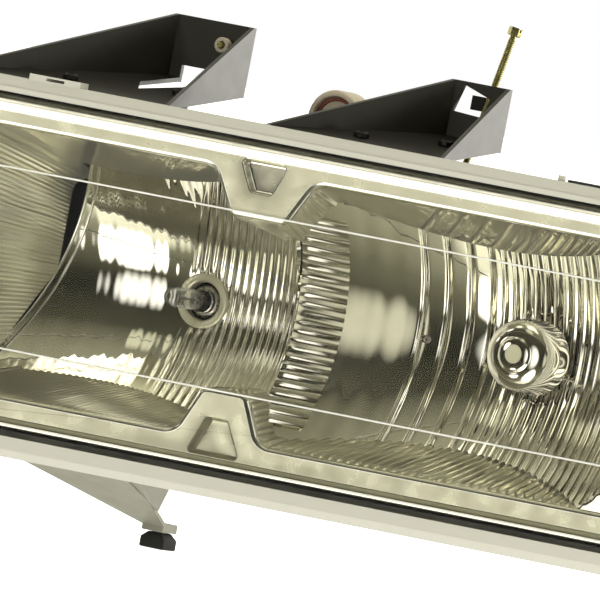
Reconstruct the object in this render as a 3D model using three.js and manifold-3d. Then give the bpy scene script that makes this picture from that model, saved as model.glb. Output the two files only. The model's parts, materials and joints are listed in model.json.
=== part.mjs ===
// A swept twin-bulb car headlamp with its mounting brackets and aiming screws.
// Millimetres. +X is to the right seen from in front of the car, +Y runs back into the car and
// +Z is up, so the beams leave along -Y. Every place below is measured from the middle of the
// lens. The finished group is shifted so that its origin is under the lower bracket's foot.
import * as THREE from "three";
import { ConvexGeometry } from "three/addons/geometries/ConvexGeometry.js";
import { mergeVertices } from "three/addons/utils/BufferGeometryUtils.js";
import Module from "manifold-3d";

const wasm = await Module();
wasm.setup();

// ---------------------------------------------------------------- driving dimensions

const gap = 0.3; // clearance kept between neighbouring pieces
const sweep = Math.tan(THREE.MathUtils.degToRad(18)); // how far the face runs back per mm of +X

const lens = { halfWidth: 194, halfHeight: 90, wall: 3, corner: 16, skirt: 14 };
const crease = { top: 46.9, bottom: -39, setback: 2.8 }; // the two folds across the lens
const rim = { halfWidth: 187, top: 84.8, bottom: -80, corner: 14, wall: 2.6, front: 10 };
const seal = { front: 6.6, back: 9.7 };

const windowEdge = { left: -168, right: 168.5, bottom: -61.4, top: 66, corner: 12 };
const bezelFront = 8;
const bezelBack = 10.6;
const wallDraft = { left: 0.345, right: 0.12, bottom: 0.29, top: 0.275 }; // per mm of depth
const bezelWall = 2;
const chamberBack = 92;
const leftWallEnd = 69; // the left wall stops here, short of the high-beam reflector
const notch = { centre: -30, topHalfWidths: [24, 13.5], bottomHalfWidths: [20, 10.5] };
const notchEdge = { top: 44.3, bottom: -38.6 };
const crest = { x: -19, y: 34, top: 35, bottom: -34 }; // where the two reflectors meet

// A reflector is a bowl: y = vertex - dx * dx / spreadX - dz * dz / spreadZ.
const high = { x: -78, y: 50, z: 0, spreadLeft: 217, spreadRight: 217, spreadZ: 110, glass: 36 };
const low = { x: 82, y: 102, z: 4, spreadLeft: 150, spreadRight: 210, spreadZ: 140, glass: 27 };
const reflectorWall = 2.4;
const bulbHole = 9.2;
const collarRadius = 13.8;

const housingWall = 2.8;
const neck = { outer: 17, inner: 13, front: 3.3, back: 24 };
const podBack = 14; // from a reflector's vertex to the flat back of the housing

const floorSlope = 0.168; // both upper brackets climb this much per mm of depth
const floorFront = { depth: 15, z: 90 };
const sheet = 2.2; // thickness of the bracket mouldings
const innerBracket = { frontLeft: -184, right: -83, backLeft: -127, back: 58, top: 134 };
const outerBracket = { frontLeft: -38, right: 46, backLeft: 14, back: 85, top: 128 };
const nutWindow = { left: 17, right: 36, bottom: 112, top: 125 };
const lowerFoot = { x: -83, y: 59, width: 13.5, length: 14.5, top: -114, bottom: -122 };

const screwRadius = 1.55;
const boreRadius = 1.95;
const verticalAimer = { foot: [28, 89.5, 93], head: [34, 102, 157.5] };
const sideAimer = { x: -97, z: 123, front: 52, head: 79 };
const vent = { x: -132, z: 34 };
const pivot = { x: -27.6, y: 60, z: 98, ball: 7.3, cavity: 7.9, radius: 14.3 };

const roundSides = 20; // flats round a full-size turned part
const fineSides = 10; // flats round a small one

// ---------------------------------------------------------------- shape helpers

/** Makes a manifold-3d solid of a closed geometry, with its faces pointing out. */
function solid(geometry) {
  const bare = new THREE.BufferGeometry();
  bare.setAttribute("position", geometry.attributes.position);
  bare.setIndex(geometry.index);
  const merged = mergeVertices(bare, 1e-3);
  const points = merged.attributes.position;
  const triangles = [];
  let volume = 0;
  const [a, b, c] = [new THREE.Vector3(), new THREE.Vector3(), new THREE.Vector3()];
  for (let i = 0; i < merged.index.count; i += 3) {
    const corners = [0, 1, 2].map((step) => merged.index.getX(i + step));
    if (new Set(corners).size === corners.length) {
      triangles.push(corners);
      a.fromBufferAttribute(points, corners[0]);
      b.fromBufferAttribute(points, corners[1]);
      c.fromBufferAttribute(points, corners[2]);
      volume += a.dot(b.cross(c));
    }
  }
  const outward = volume > 0 ? triangles : triangles.map((corners) => corners.toReversed());
  return new wasm.Manifold(new wasm.Mesh({
    numProp: 3,
    vertProperties: new Float32Array(points.array),
    triVerts: new Uint32Array(outward.flat()),
  }));
}

function asSolid(shape) {
  return shape instanceof THREE.BufferGeometry ? solid(shape) : shape;
}

function joined(...shapes) {
  return shapes.map(asSolid).reduce((whole, next) => whole.add(next));
}

function cut(shape, ...tools) {
  return tools.map(asSolid).reduce((rest, tool) => rest.subtract(tool), asSolid(shape));
}

function common(...shapes) {
  return shapes.map(asSolid).reduce((rest, next) => rest.intersect(next));
}

function geometryOf(shape) {
  const mesh = asSolid(shape).getMesh();
  const geometry = new THREE.BufferGeometry();
  geometry.setAttribute("position", new THREE.BufferAttribute(mesh.vertProperties, 3));
  geometry.setIndex(new THREE.BufferAttribute(mesh.triVerts, 1));
  return geometry;
}

function block(left, right, front, back, bottom, top) {
  const geometry = new THREE.BoxGeometry(right - left, back - front, top - bottom);
  return geometry.translate((left + right) / 2, (front + back) / 2, (bottom + top) / 2);
}

function hull(points) {
  return new ConvexGeometry(points.map((point) => new THREE.Vector3(...point)));
}

/** Turns a profile of [radius, y] pairs about the Y axis. */
function turned(profile, sides = roundSides) {
  return new THREE.LatheGeometry(profile.map((pair) => new THREE.Vector2(...pair)), sides);
}

function disc(radius, front, back, sides = roundSides) {
  return turned([[0, front], [radius, front], [radius, back], [0, back]], sides);
}

function tube(outer, inner, front, back, sides = roundSides) {
  return turned([[inner, front], [outer, front], [outer, back], [inner, back], [inner, front]], sides);
}

/** Points a shape made along +Y in another direction, and stands it at a point. */
function aimed(geometry, point, direction) {
  const turn = new THREE.Quaternion();
  turn.setFromUnitVectors(new THREE.Vector3(0, 1, 0), new THREE.Vector3(...direction).normalize());
  return geometry.applyQuaternion(turn).translate(...point);
}

/** Shifts each point back by the sweep, so that a shape drawn square follows the lens. */
function swept(geometry) {
  const points = geometry.attributes.position;
  for (let i = 0; i < points.count; i += 1) {
    points.setY(i, points.getY(i) + sweep * points.getX(i));
  }
  return geometry;
}

/** Gives a front view outline a depth, from the front to the back. */
function facing(outline, front, back) {
  const options = { depth: back - front, bevelEnabled: false, curveSegments: 4 };
  return new THREE.ExtrudeGeometry(outline, options).rotateX(Math.PI / 2).translate(0, back, 0);
}

function roundedRect(left, right, bottom, top, radius) {
  const outline = new THREE.Shape();
  outline.absarc(right - radius, bottom + radius, radius, -Math.PI / 2, 0);
  outline.absarc(right - radius, top - radius, radius, 0, Math.PI / 2);
  outline.absarc(left + radius, top - radius, radius, Math.PI / 2, Math.PI);
  outline.absarc(left + radius, bottom + radius, radius, Math.PI, Math.PI * 1.5);
  outline.closePath();
  return outline;
}

function depthAt(x, depth) {
  return sweep * x + depth;
}

/** Gives a side view outline of [y, z] points a width, from left to right. */
function crosswise(outline, left, right) {
  const shape = new THREE.Shape(outline.map((pair) => new THREE.Vector2(...pair)));
  const geometry = new THREE.ExtrudeGeometry(shape, { depth: right - left, bevelEnabled: false });
  const turn = new THREE.Matrix4();
  turn.makeBasis(new THREE.Vector3(0, 1, 0), new THREE.Vector3(0, 0, 1), new THREE.Vector3(1, 0, 0));
  return geometry.applyMatrix4(turn).translate(left, 0, 0);
}

/** A flat plate: its corners on one face, and the step from that face to the other. */
function plate(corners, step) {
  const farSide = corners.map((corner) => corner.map((value, axis) => value + step[axis]));
  return hull([...corners, ...farSide]);
}

const model = new THREE.Group();

function add(name, shape, color, roughness, metalness, parent = model) {
  const geometry = geometryOf(shape);
  geometry.computeVertexNormals();
  const material = new THREE.MeshStandardMaterial({ color, roughness, metalness, flatShading: true });
  const mesh = new THREE.Mesh(geometry, material);
  mesh.name = name;
  parent.add(mesh);
}

// ---------------------------------------------------------------- lens and seal

/** The outline that the lens rib, the seal and the housing rim share, made smaller by an inset. */
function rimOutline(inset) {
  const side = rim.halfWidth - inset;
  return roundedRect(-side, side, rim.bottom + inset, rim.top - inset, rim.corner - inset);
}

function rimBand(front, back) {
  const outside = swept(facing(rimOutline(0), front, back));
  const inside = swept(facing(rimOutline(rim.wall), front - 1, back + 1));
  return cut(outside, inside);
}

/** The lens's solid outside, or its hollow when the inset is the wall. */
function lensBlock(inset, back) {
  const side = lens.halfWidth - inset;
  const height = lens.halfHeight - inset;
  const shoulder = height - 4;
  const edge = crease.setback + 1.5;
  const outline = roundedRect(-side, side, -height, height, lens.corner - inset);
  const profile = [
    [inset, crease.bottom], [inset + crease.setback, -shoulder], [inset + edge, -height], [back, -height],
    [back, height], [inset + edge, height], [inset + crease.setback, shoulder], [inset, crease.top],
  ];
  return common(facing(outline, inset, back), crosswise(profile, -lens.halfWidth - 1, lens.halfWidth + 1));
}

function makeLens() {
  const hollow = lensBlock(lens.wall, lens.skirt + 1);
  const tab = block(-144, -120, 4, 12, lens.halfHeight - 1, 92.8);
  const tabSlot = block(-136, -127.5, 0, 20, 90.5, 91.9);
  const peg = aimed(disc(1.6, -3, 2.6, fineSides), [104, 8, lens.halfHeight], [0, 0, 1]);
  const shell = joined(cut(lensBlock(0, lens.skirt), hollow), cut(tab, tabSlot), peg);
  return joined(swept(geometryOf(shell)), rimBand(lens.wall - 1, seal.front - gap));
}

add("lens", makeLens(), 0xf2f4ee, 0.05, 0);
add("lens_seal", rimBand(seal.front, seal.back), 0x26241c, 0.6, 0);

// ---------------------------------------------------------------- the two chambers

/** The chamber's four corners at a depth behind the lens, made larger all round by a margin. */
function chamberCorners(depth, grow) {
  const run = depth - bezelFront;
  const left = windowEdge.left - grow + wallDraft.left * run;
  const right = windowEdge.right + grow - wallDraft.right * run;
  const bottom = windowEdge.bottom - grow + wallDraft.bottom * run;
  const top = windowEdge.top + grow - wallDraft.top * run;
  const corners = [[left, bottom], [right, bottom], [right, top], [left, top]];
  return corners.map(([x, z]) => [x, depthAt(x, depth), z]);
}

function chamber(grow, front, back) {
  return hull([...chamberCorners(front, grow), ...chamberCorners(back, grow)]);
}

/** One half of a bowl, to the left or right of its axis, filled towards the lens. */
function halfBowl(dish, side, shift) {
  const reach = 190;
  const spreadX = side < 0 ? dish.spreadLeft : dish.spreadRight;
  const rings = 7;
  const profile = [];
  for (let ring = 0; ring <= rings; ring += 1) {
    const depth = reach * (ring / rings) ** 2;
    profile.push([Math.sqrt(depth * dish.spreadZ), -depth]);
  }
  profile.push([0, -reach]);
  const bowl = turned(profile, 24).scale(Math.sqrt(spreadX / dish.spreadZ), 1, 1);
  bowl.translate(dish.x, dish.y + shift, dish.z);
  const far = dish.x + side * 400;
  return common(bowl, block(Math.min(dish.x, far), Math.max(dish.x, far), -300, 300, -300, 300));
}

function bowl(dish, shift) {
  return joined(halfBowl(dish, -1, shift), halfBowl(dish, 1, shift));
}

/** A wedge that carries one notch back from the bezel to the ridge between the reflectors. */
function notchWedge(halfWidths, edgeZ, crestZ, wall) {
  const [wide, narrow] = halfWidths;
  const front = bezelFront + 1;
  const at = (x, z) => [notch.centre + x, depthAt(notch.centre + x, front), z];
  const base = [[crest.x - narrow, crest.y, wall], [crest.x + narrow, crest.y, wall]];
  const ridge = [...base, [crest.x, crest.y, crestZ]];
  return hull([at(-wide, wall), at(wide, wall), at(-narrow, edgeZ), at(narrow, edgeZ), ...ridge]);
}

function bezelOutline() {
  const { left, right, bottom, top, corner } = windowEdge;
  const [topWide, topNarrow] = notch.topHalfWidths;
  const [bottomWide, bottomNarrow] = notch.bottomHalfWidths;
  const margin = rim.wall + 0.9;
  const side = rim.halfWidth - margin;
  const opening = new THREE.Path();
  opening.absarc(left + corner, bottom + corner, corner, Math.PI, Math.PI * 1.5);
  opening.lineTo(notch.centre - bottomWide, bottom);
  opening.lineTo(notch.centre - bottomNarrow, notchEdge.bottom);
  opening.lineTo(notch.centre + bottomNarrow, notchEdge.bottom);
  opening.lineTo(notch.centre + bottomWide, bottom);
  opening.absarc(right - corner, bottom + corner, corner, -Math.PI / 2, 0);
  opening.absarc(right - corner, top - corner, corner, 0, Math.PI / 2);
  opening.lineTo(notch.centre + topWide, top);
  opening.lineTo(notch.centre + topNarrow, notchEdge.top);
  opening.lineTo(notch.centre - topNarrow, notchEdge.top);
  opening.lineTo(notch.centre - topWide, top);
  opening.absarc(left + corner, top - corner, corner, Math.PI / 2, Math.PI);
  opening.closePath();
  const outline = roundedRect(-side, side, rim.bottom + margin, rim.top - margin, rim.corner - margin);
  outline.holes.push(opening);
  return outline;
}

function makeBezel() {
  const clear = 1.6;
  const reach = joined(bowl(high, -clear), bowl(low, -clear));
  const hollow = chamber(0, bezelFront, chamberBack + 1);
  const sides = cut(chamber(bezelWall, bezelFront + 1, chamberBack), hollow);
  const leftCut = swept(block(windowEdge.left - 9, -125, leftWallEnd, chamberBack + 9, -30, 36));
  const upper = notchWedge(notch.topHalfWidths, notchEdge.top, crest.top, windowEdge.top - 7);
  const lower = notchWedge(notch.bottomHalfWidths, notchEdge.bottom, crest.bottom, windowEdge.bottom + 7);
  const behind = common(joined(cut(sides, leftCut), upper, lower), reach);
  return joined(swept(facing(bezelOutline(), bezelFront, bezelBack)), behind);
}

/** A thin bowl behind its side of the chamber, with a rolled collar round the bulb hole. */
function makeReflector(dish, side) {
  const edge = crest.x + side * (gap / 2);
  const far = edge + side * 400;
  const half = block(Math.min(edge, far), Math.max(edge, far), -300, 300, -300, 300);
  const shell = cut(
    common(bowl(dish, reflectorWall), chamber(4, bezelBack + gap * 2, chamberBack + 3), half),
    bowl(high, 0),
    bowl(low, 0),
  );
  const place = [dish.x, dish.y, dish.z];
  const collar = tube(collarRadius, bulbHole, -1.5, 3).translate(...place);
  return cut(joined(shell, collar), disc(bulbHole, -40, 20).translate(...place));
}

const rivet = { x: 28, z: 2.6 }; // the small rivet head on the low-beam reflector
rivet.slope = (2 * (low.x - rivet.x)) / low.spreadLeft;
rivet.place = [rivet.x, low.y - (low.x - rivet.x) ** 2 / low.spreadLeft, rivet.z];
rivet.facing = [rivet.slope, -1, 0];

function makeRivet() {
  const stand = 1; // the flat-sided bowl bulges this far towards the head
  const profile = [[0, -6], [1.2, -6], [1.2, stand], [2.1, stand], [1.7, stand + 1.2], [0, stand + 1.4]];
  return aimed(turned(profile, fineSides), rivet.place, rivet.facing);
}

add("bezel", makeBezel(), 0xb9b79a, 0.35, 0.8);
add("reflector_high", makeReflector(high, -1), 0xd6d5c4, 0.1, 1);
const rivetHole = aimed(disc(1.5, -9, 9, fineSides), rivet.place, rivet.facing);
add("reflector_low", cut(makeReflector(low, 1), rivetHole), 0xd6d5c4, 0.1, 1);
add("reflector_rivet", makeRivet(), 0xc4c4c0, 0.3, 1);

// ---------------------------------------------------------------- bracket floors and screws

function floorHeight(x, y) {
  return floorFront.z + floorSlope * (y - depthAt(x, floorFront.depth));
}

const floorNormal = [floorSlope * sweep, -floorSlope, 1];
const innerScrews = [[-140, -10], [-95, 18]];
const outerScrews = [[0, 30], [30, 60]];
const lowerScrews = [[-94, 53], [-80, 53]];
const tabUnderside = -63.5; // the lower bracket's fixing tab

/** Stands a shape on an upper bracket's floor, pointing straight out of it. */
function onFloor(geometry, [x, y]) {
  return aimed(geometry, [x, y, floorHeight(x, y)], floorNormal);
}

function onTab(geometry, [x, y]) {
  return aimed(geometry, [x, y, tabUnderside], [0, 0, -1]);
}

/** A pan-head screw along +Y, its head just clear of the sheet that it holds. */
function panScrew(shank) {
  const profile = [[0, -shank], [1.9, -shank], [1.9, gap], [4, gap], [3.6, 2.2], [2.4, 2.9], [0, 2.9]];
  const recess = joined(block(-1.9, 1.9, 1.6, 4, -0.45, 0.45), block(-0.45, 0.45, 1.6, 4, -1.9, 1.9));
  return geometryOf(cut(turned(profile, fineSides), recess));
}

// ---------------------------------------------------------------- housing

const aimPoint = new THREE.Vector3(...verticalAimer.foot);
const aimLine = new THREE.Vector3(...verticalAimer.head).sub(aimPoint);
const aimLength = aimLine.length();

/** Moves a shape made along +Y onto the vertical aiming screw's axis. */
function onAimer(geometry) {
  return aimed(geometry, verticalAimer.foot, aimLine.toArray());
}

/** The housing's solid outside, or its hollow when the inset is the wall. */
function housingBlock(inset, front) {
  const corner = (x, z, depth) => [x, depthAt(x, depth), z];
  const bend = 60;
  const mouth = rimOutline(inset === 0 ? 0 : rim.wall).getPoints(2).map((at) => corner(at.x, at.y, front));
  const waist = roundedRect(-170 + inset, 184 - inset, -64 + inset, 70 - inset, 10);
  const middle = waist.getPoints(1).map((at) => corner(at.x, at.y, bend));
  const [bottom, top] = [-64 + inset, 70 - inset];
  const back = (dish) => dish.y + podBack - inset;
  const pod = (dish, near, far) => hull([
    ...[bottom, top].flatMap((z) => [corner(near.left, z, bend - 2), corner(near.right, z, bend - 2)]),
    ...[far.left, far.right].flatMap((x) => [far.bottom, far.top].map((z) => [x, back(dish), z])),
  ]);
  const highPod = pod(
    high,
    { left: -170 + inset, right: 0 },
    { left: -156 + inset, right: -22 - inset, bottom: -50 + inset, top: 54 - inset },
  );
  const lowPod = pod(
    low,
    { left: -30 + inset, right: 184 - inset },
    { left: 4 + inset, right: 168 - inset, bottom: -48 + inset, top: 60 - inset },
  );
  return joined(hull([...mouth, ...middle]), highPod, lowPod);
}

function makeHousing() {
  const sinceVertex = (geometry, dish) => geometry.translate(dish.x, dish.y, dish.z);
  const postTop = pivot.z - 13.5;
  const webRight = innerBracket.right;
  const outside = [
    swept(block(104, 184, lens.skirt + 2 * gap, 30, 76, 91.2)),
    block(pivot.x - 6, pivot.x + 6, pivot.y - 7, pivot.y + 5, 50, postTop),
    block(webRight - 3, webRight, -5, 27, 70, floorHeight(webRight, -5) - sheet - gap),
    onAimer(disc(6.2, -45, -13.6)),
    ...[...innerScrews, ...outerScrews].map((at) => onFloor(disc(5, -36, -sheet - gap, fineSides), at)),
    ...lowerScrews.map((at) => onTab(disc(4, -24, -sheet - gap, fineSides), at)),
    ...[high, low].map((dish) => sinceVertex(disc(neck.outer, neck.front, neck.back), dish)),
    disc(4, high.y, high.y + podBack + 8, fineSides).translate(vent.x, 0, vent.z),
  ];
  const bores = [
    onAimer(disc(2.4, -26, 0, fineSides)),
    ...[...innerScrews, ...outerScrews].map((at) => onFloor(disc(2.3, -12.5, 0, fineSides), at)),
    ...lowerScrews.map((at) => onTab(disc(2.3, -8, 0, fineSides), at)),
    disc(1.8, high.y, high.y + podBack + 9, fineSides).translate(vent.x, 0, vent.z),
  ];
  const hollow = housingBlock(housingWall, rim.front - 1);
  const sleeves = [high, low].map((dish) => sinceVertex(disc(neck.outer, neck.front, podBack), dish));
  const necks = [high, low].map((dish) => sinceVertex(disc(neck.inner, 0, neck.back + 1), dish));
  const body = cut(joined(housingBlock(0, rim.front), ...outside), hollow);
  return cut(joined(body, ...sleeves), ...necks, ...bores);
}

/** A rubber cap over the breather spout, open towards the housing. */
function makeVentCap() {
  const front = high.y + podBack + 2;
  const cap = turned([[4.4, front], [7, front], [7, front + 9], [5, front + 12], [0, front + 12],
    [0, front + 9], [4.4, front + 9], [4.4, front]], fineSides);
  return cap.translate(vent.x, 0, vent.z);
}

add("housing", makeHousing(), 0x2b2a26, 0.6, 0);
add("vent_cap", makeVentCap(), 0x1c1c1a, 0.8, 0);

// ---------------------------------------------------------------- brackets

/** An open tray that climbs back from the lens: a sloping floor with a wall on three sides. */
function trayBracket({ frontLeft, right, backLeft, back, top }) {
  const onFloorAt = (x, y) => [x, y, floorHeight(x, y)];
  const raised = ([x, y]) => [x, y, top];
  const startLeft = onFloorAt(frontLeft, depthAt(frontLeft, floorFront.depth));
  const startRight = onFloorAt(right, depthAt(right, floorFront.depth));
  const endLeft = onFloorAt(backLeft, back);
  const endRight = onFloorAt(right, back);
  const lower = ([x, y, z]) => [x, y, z - sheet];
  return joined(
    plate([startLeft, startRight, endRight, endLeft], [0, 0, -sheet]),
    plate([lower(startLeft), startLeft, raised(endLeft), lower(endLeft)], [sheet, 0, 0]),
    plate([lower(startRight), startRight, raised(endRight), lower(endRight)], [-sheet, 0, 0]),
    plate([lower(endLeft), raised(endLeft), raised(endRight), lower(endRight)], [0, sheet, 0]),
  );
}

function makeInnerBracket() {
  const { back } = innerBracket;
  const slot = new THREE.Shape([[-122, 26], [-113, 9], [-105, 37], [-106, back + 6], [-118, back + 6]]
    .map((pair) => new THREE.Vector2(...pair)));
  const slotCut = new THREE.ExtrudeGeometry(slot, { depth: 40, bevelEnabled: false }).translate(0, 0, 70);
  const screwHole = disc(2.4, back - 5, back + 5, fineSides).translate(sideAimer.x, 0, sideAimer.z);
  const holes = innerScrews.map((at) => onFloor(disc(2.4, -6, 6, fineSides), at));
  return cut(trayBracket(innerBracket), slotCut, screwHole, ...holes);
}

function makeOuterBracket() {
  const { left, right, bottom, top } = nutWindow;
  const { back } = outerBracket;
  const corners = [[left, bottom + 1], [right - 3, bottom], [right, top - 3.5], [left + 4, top + 1.3]];
  const opening = plate(corners.map(([x, z]) => [x, back - 2, z]), [0, 2 * sheet + 2, 0]);
  const holes = outerScrews.map((at) => onFloor(disc(2.4, -6, 6, fineSides), at));
  return cut(trayBracket(outerBracket), opening, ...holes);
}

/** A ramp that drops back from the lens to the foot, hung from the housing by two webs. */
function makeLowerBracket() {
  const startLeft = [-127, depthAt(-127, lens.skirt + 1), -87.6];
  const startRight = [-67, depthAt(-67, lens.skirt + 1), -87.6];
  const padTop = lowerFoot.top + gap + sheet;
  const footLeft = lowerFoot.x - lowerFoot.width / 2 + 1;
  const footRight = lowerFoot.x + lowerFoot.width / 2 - 1;
  const footFront = lowerFoot.y - lowerFoot.length / 2 + 1;
  const footBack = lowerFoot.y + lowerFoot.length / 2 - 1;
  const web = [
    [-6, -89.5], [33, -103], [41, -90], [46, -66], [60, tabUnderside], [60, tabUnderside + sheet],
    [46, tabUnderside + sheet], [20, -73], [-6, -80.5],
  ];
  const tab = block(-101, -71.8, 46, 60, tabUnderside, tabUnderside + sheet);
  const endLeft = [footLeft, footFront, padTop];
  const endRight = [footRight, footFront, padTop];
  return cut(
    joined(
      plate([startLeft, startRight, endRight, endLeft], [0, 0, sheet]),
      block(footLeft, footRight, footFront - sheet, footBack, padTop - sheet, padTop + sheet),
      crosswise(web, -101, -98.8),
      crosswise(web, -74, -71.8),
      tab,
    ),
    ...lowerScrews.map((at) => onTab(disc(2.4, -6, 6, fineSides), at)),
  );
}

function makeFoot() {
  const { x, y, width, length, top, bottom } = lowerFoot;
  const chamfer = 3;
  const foot = [-1, 1].flatMap((side) => [
    [x + (side * width) / 2, y, bottom, 0],
    [x + (side * width) / 2, y, top - chamfer, 0],
    [x + side * (width / 2 - chamfer), y, top, chamfer],
  ]);
  return hull(foot.flatMap(([px, py, pz, trim]) => [
    [px, py - length / 2 + trim / 2, pz],
    [px, py + length / 2 - trim / 2, pz],
  ]));
}

add("upper_inner_bracket", makeInnerBracket(), 0x2e2c26, 0.45, 0);
add("upper_outer_bracket", makeOuterBracket(), 0x2e2c26, 0.45, 0);
add("lower_bracket", makeLowerBracket(), 0xa5a08c, 0.5, 0);
add("lower_foot", makeFoot(), 0x151513, 0.7, 0);

const steel = [0xb5b2a2, 0.35, 1];
innerScrews.forEach((at, i) => add(`inner_bracket_screw_${i + 1}`, onFloor(panScrew(11), at), ...steel));
outerScrews.forEach((at, i) => add(`outer_bracket_screw_${i + 1}`, onFloor(panScrew(11), at), ...steel));
lowerScrews.forEach((at, i) => add(`lower_bracket_screw_${i + 1}`, onTab(panScrew(6.5), at), ...steel));

// ---------------------------------------------------------------- bulbs, one group each

const ring = { inner: 17.7, outer: 21.4, grip: 23, front: 16.4, lip: 27.7, back: 30 };

/** The glass envelope, open at the back where it enters the base. */
function makeGlass(length) {
  return turned([[0, -length], [3, -length + 1], [4.6, -length + 3.5], [5, -length + 6], [5, 4], [4.1, 4],
    [4.1, -length + 6.5], [2.6, -length + 3], [0, -length + 1.6]], 14);
}

function makeFilament(length) {
  const tip = -length + 12;
  const leads = [-1.8, 1.8].map((x) => disc(0.4, tip, 4, 6).translate(x, 0, 0));
  const coil = aimed(disc(0.9, -2.4, 2.4, 8), [0, tip, 0], [1, 0, 0]);
  return joined(coil, ...leads);
}

/** The moulded base: a plug with an O-ring groove, a flange and a connector that points down. */
function makeBulbBase() {
  const stem = turned([[0, 4.4], [8.4, 4.4], [8.4, 8], [12.5, 9], [12.5, 13], [10.6, 13], [10.6, 16.4],
    [12.5, 16.4], [12.5, neck.back + gap], [16.6, neck.back + gap], [16.6, ring.lip - gap],
    [12.2, ring.lip - gap], [12.2, 33], [0, 33]]);
  const connector = block(-10, 10, 30.6, 47, -32, 9);
  const pocket = block(-7.6, 7.6, 34, 44, -33, -16);
  const latch = block(-3, 3, 46, 49, -30, -14);
  const slots = [-3.9, 3.9].map((x) => block(x - 0.8, x + 0.8, 36, 42, -16.5, -10));
  return cut(joined(stem, connector, latch), pocket, ...slots);
}

function makeOring() {
  const profile = [];
  for (let i = 0; i <= 6; i += 1) {
    const turn = (i / 6) * 2 * Math.PI;
    profile.push([11.85 + 0.95 * Math.cos(turn), 14.7 + 0.95 * Math.sin(turn)]);
  }
  return turned(profile);
}

/** A ring that twists over the bulb's flange and locks it to the neck. */
function makeLockRing() {
  const wall = turned([[ring.inner, ring.front], [ring.outer, ring.front], [ring.outer, ring.back],
    [13, ring.back], [13, ring.lip], [ring.inner, ring.lip], [ring.inner, ring.front]], 24);
  const grips = 8;
  const ribs = [];
  for (let i = 0; i < grips; i += 1) {
    const rib = block(ring.outer - 1, ring.grip, ring.front + 1, ring.back - 1, -1.2, 1.2);
    ribs.push(rib.rotateY(((i + 0.5) / grips) * 2 * Math.PI));
  }
  return joined(wall, ...ribs);
}

function addBulb(name, dish) {
  const group = new THREE.Group();
  group.position.set(dish.x, dish.y, dish.z);
  model.add(group);
  add(`${name}_bulb_glass`, makeGlass(dish.glass), 0xf4f6f6, 0.03, 0, group);
  add(`${name}_bulb_filament`, makeFilament(dish.glass), 0x8a8780, 0.4, 1, group);
  add(`${name}_bulb_base`, makeBulbBase(), 0x2a2a2c, 0.55, 0, group);
  add(`${name}_bulb_oring`, makeOring(), 0x8c3a22, 0.6, 0, group);
  add(`${name}_lock_ring`, makeLockRing(), 0x35332e, 0.5, 0, group);
  [-3.9, 3.9].forEach((x, i) => {
    const blade = block(x - 0.4, x + 0.4, 36.5, 41.5, -28, -10.4);
    add(`${name}_terminal_${i + 1}`, blade, 0xc9c6ba, 0.3, 1, group);
  });
}

/** A cup in front of the low-beam bulb that hides it from oncoming drivers. */
function makeShield() {
  const [face, mouth, radius, wall] = [-31, -9, 18, 1];
  const cup = turned([[0, face - 1.4], [7, face - 1.2], [8.1, face], [12.5, face + 0.6], [16.4, face + 3.4],
    [radius, face + 9], [radius, mouth], [radius - wall, mouth], [radius - wall, face + 9.4],
    [15.4, face + 4.6], [12, face + 1.8], [0, face + 0.2]]);
  const legs = [-1, 1].map((side) => block(side * 17.4 - 0.5, side * 17.4 + 0.5, mouth - 4, -3.4, -3, 3));
  return joined(cup, ...legs).translate([low.x, low.y, low.z]);
}

addBulb("high", high);
addBulb("low", low);
add("low_bulb_shield", makeShield(), 0xdcdcd4, 0.08, 1);

// ---------------------------------------------------------------- aiming screws and pivot

/** A slotted hexagon-head screw along +Y from its tip to the top of its head. */
function aimScrew(tip, top) {
  const headHeight = 3.8;
  const head = disc(3.4, top - headHeight, top, 6);
  const slot = block(-5, 5, top - 1.7, top + 1, -0.65, 0.65);
  return geometryOf(cut(joined(disc(screwRadius, tip, top - headHeight + 1, 12), head), slot));
}

function makeVerticalNut() {
  const bore = onAimer(disc(boreRadius, -100, 100, 16));
  return cut(block(21.5, 34, 94, 101, 115, 122), bore);
}

const onSide = (geometry) => geometry.translate(sideAimer.x, 0, sideAimer.z);
const zinc = [0xa89a4e, 0.4, 1];
const nylon = [0xe6e0cc, 0.5, 0];

function makeSideNut() {
  return cut(block(-5.5, 5.5, 64, 70, -5.5, 5.5), disc(boreRadius, 60, 100, 16));
}

add("vertical_aim_screw", onAimer(aimScrew(-24, aimLength)), ...zinc);
add("vertical_aim_nut", makeVerticalNut(), 0x33312c, 0.6, 0);
add("vertical_screw_clip", onAimer(tube(5, boreRadius, -13.2, -6, 16)), ...nylon);
add("side_aim_screw", onSide(aimScrew(sideAimer.front, sideAimer.head)), ...zinc);
add("side_aim_nut", onSide(geometryOf(makeSideNut())), 0x33312c, 0.6, 0);
add("side_screw_clip", onSide(tube(3.8, boreRadius, 53.4, innerBracket.back - gap, 16)), ...nylon);

/** A nylon socket that stands on the housing and opens to the back for the ball stud. */
function makeSocket() {
  const foot = block(-20, 20, -20, 20, -30, -13.2);
  const cavity = new THREE.SphereGeometry(pivot.cavity, 14, 8);
  return cut(disc(pivot.radius, -10, 5, 24), cavity, foot).translate([pivot.x, pivot.y, pivot.z]);
}

function makeStud() {
  const ball = new THREE.SphereGeometry(pivot.ball, 14, 8);
  const stud = joined(ball, disc(3, 4, 34, 12), disc(6, 16, 19.5, 6));
  return stud.translate([pivot.x, pivot.y, pivot.z]);
}

add("pivot_socket", makeSocket(), 0xd9c7a8, 0.5, 0);
add("pivot_ball_stud", makeStud(), ...steel);

model.position.set(-lowerFoot.x, -lowerFoot.y, -lowerFoot.bottom);

export default model;
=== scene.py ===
"""Looks for a swept twin-bulb car headlamp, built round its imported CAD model.

Lengths in this file are millimetres in the lamp's design frame: x to the right seen from in
front of the car, y back into the car, z up, measured from the middle of the lens. place() turns
them into metres in the model's frame, whose position is worked out from the CAD boxes.
"""
import json
import math

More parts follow.
